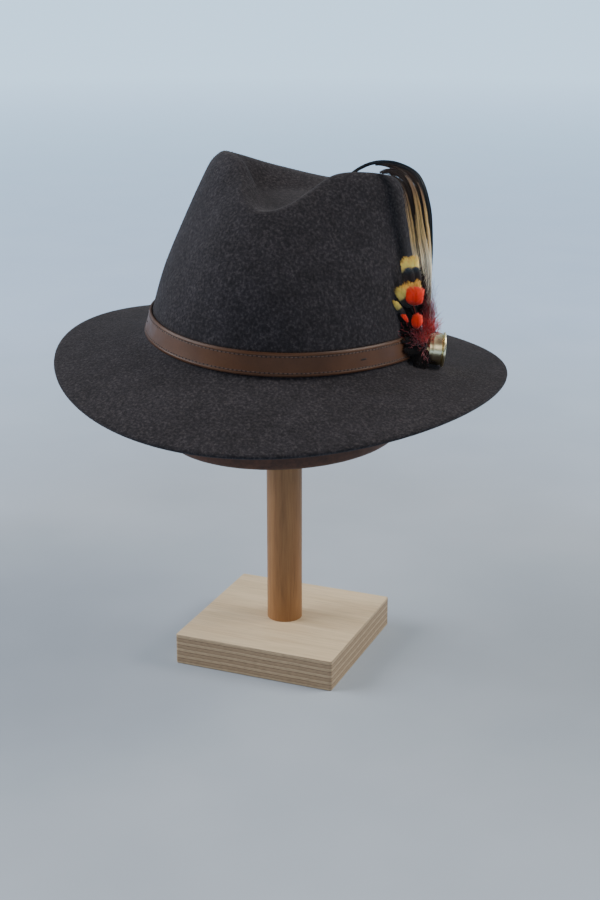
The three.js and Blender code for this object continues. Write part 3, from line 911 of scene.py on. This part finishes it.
BLACK_OUTER = [
    (427, 337, 2, 4), (428.5, 300, 3, 5), (430, 270, 3, 5), (430.2, 245, 4, 5),
    (429.3, 218, 4.4, 5.5), (427.2, 203, 4.6, 6.5), (423.6, 188, 4.4, 7.5),
    (418.6, 177, 4, 9), (410.5, 170, 3.6, 11), (400, 165, 3.2, 13), (390, 162.4, 3, 14),
    (380, 162, 2.8, 14.5), (370, 163.6, 2.6, 15), (360, 168.2, 2.4, 15), (350, 175, 2, 15),
    (344, 181, 2, 15),
]
BROWN_FILL = [
    (426, 337, 2, 2), (423, 290, 5, 2), (418, 258, 7, 2), (415.5, 230, 8, 2.5),
    (413.5, 206, 10, 3.5), (409.5, 190, 11, 5), (403.5, 178, 10, 7), (394.5, 172.4, 7.5, 9),
    (385, 171.5, 4, 11), (378, 174, 2, 12),
]
BROWN_INNER = [
    (427, 337, 2, 4), (427, 300, 3, 4), (426.5, 270, 4, 4), (424.5, 245, 4, 4),
    (424, 222, 5, 5), (422.6, 205, 6, 5.5), (419.6, 191, 7, 6.5), (414.6, 180, 7.5, 8),
    (407, 172.8, 7.5, 10), (398, 168.2, 5.6, 12), (389, 165.4, 4, 13.5), (381, 164.4, 2.6, 14.5),
    (372, 165.4, 1.4, 15),
]


def long_strands(guide, count, radius, shortest, in_front=True, steps=26):
    """A bundle of strands that follow one guide."""
    rows = smooth_path([Vector(row) for row in guide], steps)
    runs = []
    for _ in range(count):
        aside = clamp(random.gauss(0, STRAND["spread"]), -STRAND["widest"], STRAND["widest"])
        deep = random.uniform(-STRAND["depth"], STRAND["depth"])
        last = int(steps * random.uniform(shortest, 1.0))
        lot = random.random()
        root = pin_point(random.uniform(*LONG_ROOT["back"]), LONG_ROOT["up"], LONG_ROOT["out"])
        run = [(root, radius * STRAND["root_radius"], 0.0)]
        for step in range(1, last + 1):
            x, y, width, back = rows[step]
            before, after = rows[step - 1], rows[min(step + 1, steps)]
            heading = Vector((after[0] - before[0], after[1] - before[1])).normalized()
            wave_angle = step * STRAND["wave_step_in_radians"] + lot * STRAND["wave_lot_in_radians"]
            shift = aside * width + STRAND["wave"] * math.sin(wave_angle)
            place = seen_at(x - heading.y * shift, y + heading.x * shift, back + deep, in_front)
            thickness = radius * (1 - STRAND["taper"] * (step / last) ** 2)
            run.append((place, thickness, step / steps))
        runs.append((run, lot))
    return runs


def show_strands(name, runs, finish, node):
    add_piece(name, strands(name, runs), finish, [node])


def show_short(name, runs, finish):
    show_strands(name, runs, finish, "feather_cluster")


random.seed(5)

golden = feather_finish("golden_feather", [
    (0.0, (0.010, 0.007, 0.006)), (0.54, (0.022, 0.013, 0.011)), (0.60, (0.50, 0.40, 0.14)),
    (0.70, (1.0, 0.76, 0.21)), (0.85, (1.0, 0.70, 0.15)), (1.0, (0.82, 0.50, 0.08)),
], lots=[(0.0, 0.85), (1.0, 1.25)])
show_short("golden_feathers", short_feathers(GOLDEN), golden)
slate = feather_finish("slate_feather", [
    (0.0, (0.010, 0.007, 0.007)), (0.62, (0.026, 0.014, 0.012)), (0.76, (0.022, 0.017, 0.018)),
    (0.88, (0.030, 0.040, 0.052)), (1.0, (0.075, 0.10, 0.125)),
])
show_short("slate_feathers", short_feathers(SLATE, ragged=0.03), slate)
amber = feather_finish("amber_feather", [
    (0.0, (0.009, 0.006, 0.005)), (0.42, (0.02, 0.012, 0.008)), (0.5, (0.62, 0.47, 0.13)),
    (0.72, (0.92, 0.60, 0.12)), (0.9, (0.88, 0.48, 0.07)), (1.0, (0.62, 0.28, 0.03)),
])
show_short("amber_feathers", short_feathers(AMBER, ragged=0.10), amber)
lemon = feather_finish("lemon_feather", [
    (0.0, (0.009, 0.006, 0.005)), (0.44, (0.02, 0.012, 0.008)), (0.52, (0.62, 0.48, 0.13)),
    (0.75, (0.90, 0.68, 0.14)), (0.95, (0.84, 0.55, 0.09)), (1.0, (0.50, 0.30, 0.04)),
])
show_short("lemon_feathers", short_feathers(LEMON, ragged=0.08), lemon)
scarlet = feather_finish("scarlet_feather", [
    (0.0, (0.14, 0.008, 0.004)), (0.22, (0.72, 0.022, 0.005)), (0.55, (0.98, 0.038, 0.006)),
    (0.85, (0.98, 0.060, 0.012)), (1.0, (0.76, 0.045, 0.03)),
], lots=[(0.0, 1.0), (1.0, 1.35)])
show_short("scarlet_feathers", short_feathers(SCARLET), scarlet)
# Black hackle colour, kept near black as painted shade beside and under the pin
hackle_and_shade = feather_finish("dark_hackle_and_shade", [
    (0.0, (0.003, 0.0018, 0.002)), (0.7, (0.004, 0.0028, 0.003)), (1.0, (0.007, 0.004, 0.0045)),
], roughness=0.95, sheen=0.0)
show_short("dark_hackles_and_shade", short_feathers(HACKLE_AND_SHADE, ragged=0.16), hackle_and_shade)

crimson = feather_finish("crimson_down", [
    (0.0, (0.22, 0.005, 0.009)), (0.5, (0.46, 0.014, 0.026)), (1.0, (0.60, 0.07, 0.10)),
], roughness=0.7, sheen=0.4, lots=[(0.0, 0.15), (0.5, 0.7), (1.0, 1.15)])
show_short("crimson_down", (
    fluff(240, (428.5, 317, -5), (3.2, 6.5), 6.5, 0.115)
    + fluff(330, (418, 338, -9), (4.8, 3.8), 5, 0.15)
    + fluff(40, (409, 331, -11), (3, 5), 5, 0.15)
), crimson)
cherry = feather_finish("cherry_down", [
    (0.0, (0.55, 0.012, 0.012)), (0.5, (0.84, 0.03, 0.025)), (1.0, (0.85, 0.10, 0.09)),
], roughness=0.7, sheen=0.4)
show_short("cherry_down", (
    fluff(330, (429, 330, -7), (3.8, 4.4), 6, 0.13)
    + fluff(130, (425, 341, -10), (2.8, 3.0), 5, 0.14)
), cherry)
rose = feather_finish("rose_curl", [
    (0.0, (0.34, 0.02, 0.035)), (1.0, (0.66, 0.17, 0.20)),
], roughness=0.7, sheen=0.5)
show_short("rose_curls", (
    fluff(60, (424.5, 354, -9), (1.5, 5), 4.5, 0.09)
    + fluff(60, (416, 343, -12), (3.4, 2), 4, 0.09)
    + fluff(60, (433, 319, -4), (2, 6), 5, 0.08)
), rose)
brown = feather_finish("brown_hair", [
    (0.0, (0.12, 0.02, 0.015)), (0.5, (0.10, 0.05, 0.04)), (1.0, (0.17, 0.12, 0.10)),
], roughness=0.6)
show_short("brown_hairs", (
    fluff(90, (426.5, 299, -4), (2.2, 8), 9, 0.10)
    + fluff(40, (431, 304, -3), (1.8, 9), 8, 0.08)
    + fluff(30, (422.5, 282, -4), (1.6, 7), 8, 0.10)
), brown)

straw = feather_finish("straw_plume", [
    (0.0, (0.50, 0.40, 0.30)), (0.14, (0.98, 0.90, 0.73)), (0.34, (1.0, 0.90, 0.68)),
    (0.47, (0.78, 0.55, 0.24)), (0.66, (0.60, 0.38, 0.14)), (0.8, (0.27, 0.15, 0.07)),
    (1.0, (0.07, 0.04, 0.028)),
], roughness=0.5, lots=[(0.0, 0.1), (0.12, 0.25), (0.17, 0.9), (1.0, 1.3)])
show_strands("straw_plume_strands", (
    long_strands(STRAW_MAIN, 92, 0.27, 0.6)
    + long_strands(STRAW_EDGE, 16, 0.24, 0.66)
    + long_strands(STRAW_WISPS, 30, 0.12, 0.45)
), straw, "straw_plume")
raven = feather_finish("raven_plume", [
    (0.0, (0.008, 0.008, 0.010)), (0.5, (0.010, 0.018, 0.026)), (1.0, (0.012, 0.014, 0.018)),
], roughness=0.4, sheen=0.0)
show_strands("black_plume_strands", (
    long_strands(BLACK_OUTER, 66, 0.36, 0.86, False, 40)
), raven, "black_plume")
umber = feather_finish("umber_strand", [
    (0.0, (0.012, 0.009, 0.008)), (0.6, (0.035, 0.02, 0.014)), (1.0, (0.05, 0.03, 0.025)),
], roughness=0.5, sheen=0.1)
show_strands("brown_plume_strands", (
    long_strands(BROWN_INNER, 64, 0.28, 0.93, False, 34)
    + long_strands(BROWN_FILL, 96, 0.24, 0.93, False, 34)
    + long_strands(BROWN_FILL, 16, 0.14, 0.6, True, 34)
), umber, "black_plume")


# Brass cap: hollow at its mouth, with an extractor groove before its rim and a plain primer

CAP_START = 8.5
CAP_OUTLINE = [
    (0, 3.4), (8.6, 3.4), (9.0, 2.6), (9.15, 0.25), (9.45, 0.0), (9.85, 0.25), (9.9, 0.8),
    (9.98, 2.4), (10.05, 2.55), (10.05, 2.9), (10.0, 3.1), (10.25, 6.6), (10.38, 7.3),
    (10.4, 7.8), (10.15, 8.15), (9.75, 8.35), (9.7, 8.6), (10.1, 8.9), (10.95, 9.0),
    (11.2, 9.2), (11.2, 9.95), (11.0, 10.3), (10.6, 10.5), (9.6, 10.55), (4.2, 10.47),
    (4.0, 10.35), (3.9, 9.8), (3.65, 9.8), (3.5, 10.25), (3.2, 10.4), (0, 10.45),
]


def cap_mesh():
    place = PIN @ Matrix.Translation((0, 0, CAP_START * MM))
    return mesh_from(lathe(CAP_OUTLINE, TURNED_STEPS, place), "brass_head")


cap = add_piece("brass_head", cap_mesh(), polished_brass(), ["brass_cap"])


# Stand

def round_off(bm, edges, radius, segments):
    bmesh.ops.bevel(
        bm, geom=edges, offset=radius * MM, segments=segments, profile=0.5, affect="EDGES",
        material=-1,
    )


def foot_mesh():
    """The square board with rounded corners and softly rounded rims."""
    low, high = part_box("stand_foot")
    bm = bmesh.new()
    bmesh.ops.create_cube(bm, size=1)
    bmesh.ops.scale(bm, vec=high - low, verts=bm.verts)
    bmesh.ops.translate(bm, vec=(low + high) / 2, verts=bm.verts)
    upright = [edge for edge in bm.edges if abs(edge.verts[0].co.z - edge.verts[1].co.z) > 0.01]
    round_off(bm, upright, **FOOT_CORNER)
    rims = [edge for edge in bm.edges if edge.calc_face_angle(0) > math.radians(80)]
    round_off(bm, rims, **FOOT_RIM)
    return mesh_from(bm, "stand_foot_board")


def post_mesh():
    """The round dowel, with a ring of points one millimetre from each end."""
    low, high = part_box("stand_post")
    radius = (high.x - low.x) / 2 / MM
    height = (high.z - low.z) / MM
    side = [(radius, level) for level in (0, 1, height - 1, height)]
    place = Matrix.Translation((0, 0, low.z))
    return mesh_from(lathe([(0, 0), *side, (0, height)], TURNED_STEPS, place), "post")


add_piece("foot_board", foot_mesh(), plywood(), ["stand_foot"], smooth=False)
post = add_piece("post_dowel", post_mesh(), dowel_wood(), ["stand_post"])
block = add_piece(
    "hat_block", mesh_from(cad_copy("stand_block", 50, 0.9), "hat_block"), block_wood(),
    ["stand_block"],
)
subdivide(block, 2)
for turned in (cap, post):
    edge_split = turned.modifiers.new("crisp", "EDGE_SPLIT")
    edge_split.split_angle = math.radians(CRISP_TURN)


# Floor, light and camera

def floor_finish():
    """Pale blue grey that glows a little brighter and bluer far from the stand."""
    finish = Finish("pale_floor", roughness=0.85, specular=0.2)
    mottle = finish.noise(9, detail=3)
    colour = finish.ramp(mottle, [(0.3, (0.38, 0.44, 0.51)), (0.7, (0.42, 0.48, 0.55))])
    away = finish.nodes.new("ShaderNodeVectorMath")
    away.operation = "LENGTH"
    finish.links.new(finish.place, away.inputs[0])
    glow = finish.ramp(finish.math("DIVIDE", away.outputs["Value"], FLOOR_GLOW_REACH), [
        (0.0, 0.0), (0.08, 0.0), (0.25, (0.225, 0.36, 0.56)), (1.0, (0.82, 1.20, 1.60)),
    ])
    finish.links.new(glow, finish.shader.inputs["Emission Color"])
    finish.shader.inputs["Emission Strength"].default_value = 1.0
    return finish.use(colour, normal=finish.bump(finish.noise(400, detail=2), 0.05, 0.3))


def stage_floor():
    bm = bmesh.new()
    bmesh.ops.create_circle(bm, segments=64, radius=FLOOR_RADIUS, cap_ends=True)
    mesh = mesh_from(bm, "floor")
    mesh.materials.append(floor_finish())
    floor = bpy.data.objects.new("floor", mesh)
    bpy.context.scene.collection.objects.link(floor)


def area_light(name, place, target, size, power, colour):
    light = bpy.data.lights.new(name, "AREA")
    light.shape = "RECTANGLE"
    light.size, light.size_y = size
    light.energy = power
    light.color = colour
    lamp = bpy.data.objects.new(name, light)
    lamp.location = place
    lamp.rotation_euler = (Vector(target) - Vector(place)).to_track_quat("-Z", "Y").to_euler()
    bpy.context.scene.collection.objects.link(lamp)


def studio_world():
    """Dim grey light, brighter and bluer from the back."""
    world = bpy.data.worlds.new("studio")
    world.use_nodes = True
    nodes = world.node_tree.nodes
    links = world.node_tree.links
    heading = nodes.new("ShaderNodeTexCoord").outputs["Generated"]
    facing = nodes.new("ShaderNodeVectorMath")
    facing.operation = "DOT_PRODUCT"
    facing.inputs[1].default_value = WORLD_BRIGHT_SIDE
    dusk = nodes.new("ShaderNodeValToRGB")
    for mark, (place, tone) in zip(dusk.color_ramp.elements, WORLD_TONES):
        mark.position = place
        mark.color = tone
    sky = nodes["Background"]
    sky.inputs["Strength"].default_value = 1.0
    links.new(heading, facing.inputs[0])
    links.new(facing.outputs["Value"], dusk.inputs["Fac"])
    links.new(dusk.outputs["Color"], sky.inputs["Color"])
    bpy.context.scene.world = world


def set_camera():
    lens = bpy.data.cameras.new("camera")
    lens.lens = CAMERA_LENS
    lens.sensor_width = CAMERA_SENSOR
    camera = bpy.data.objects.new("camera", lens)
    camera.location = CAMERA_PLACE * MM
    camera.rotation_euler = CAMERA_TURN.to_euler()
    bpy.context.scene.collection.objects.link(camera)
    bpy.context.scene.camera = camera


stage_floor()
for light_name, values in LIGHTS.items():
    area_light(light_name, **values)
studio_world()
set_camera()
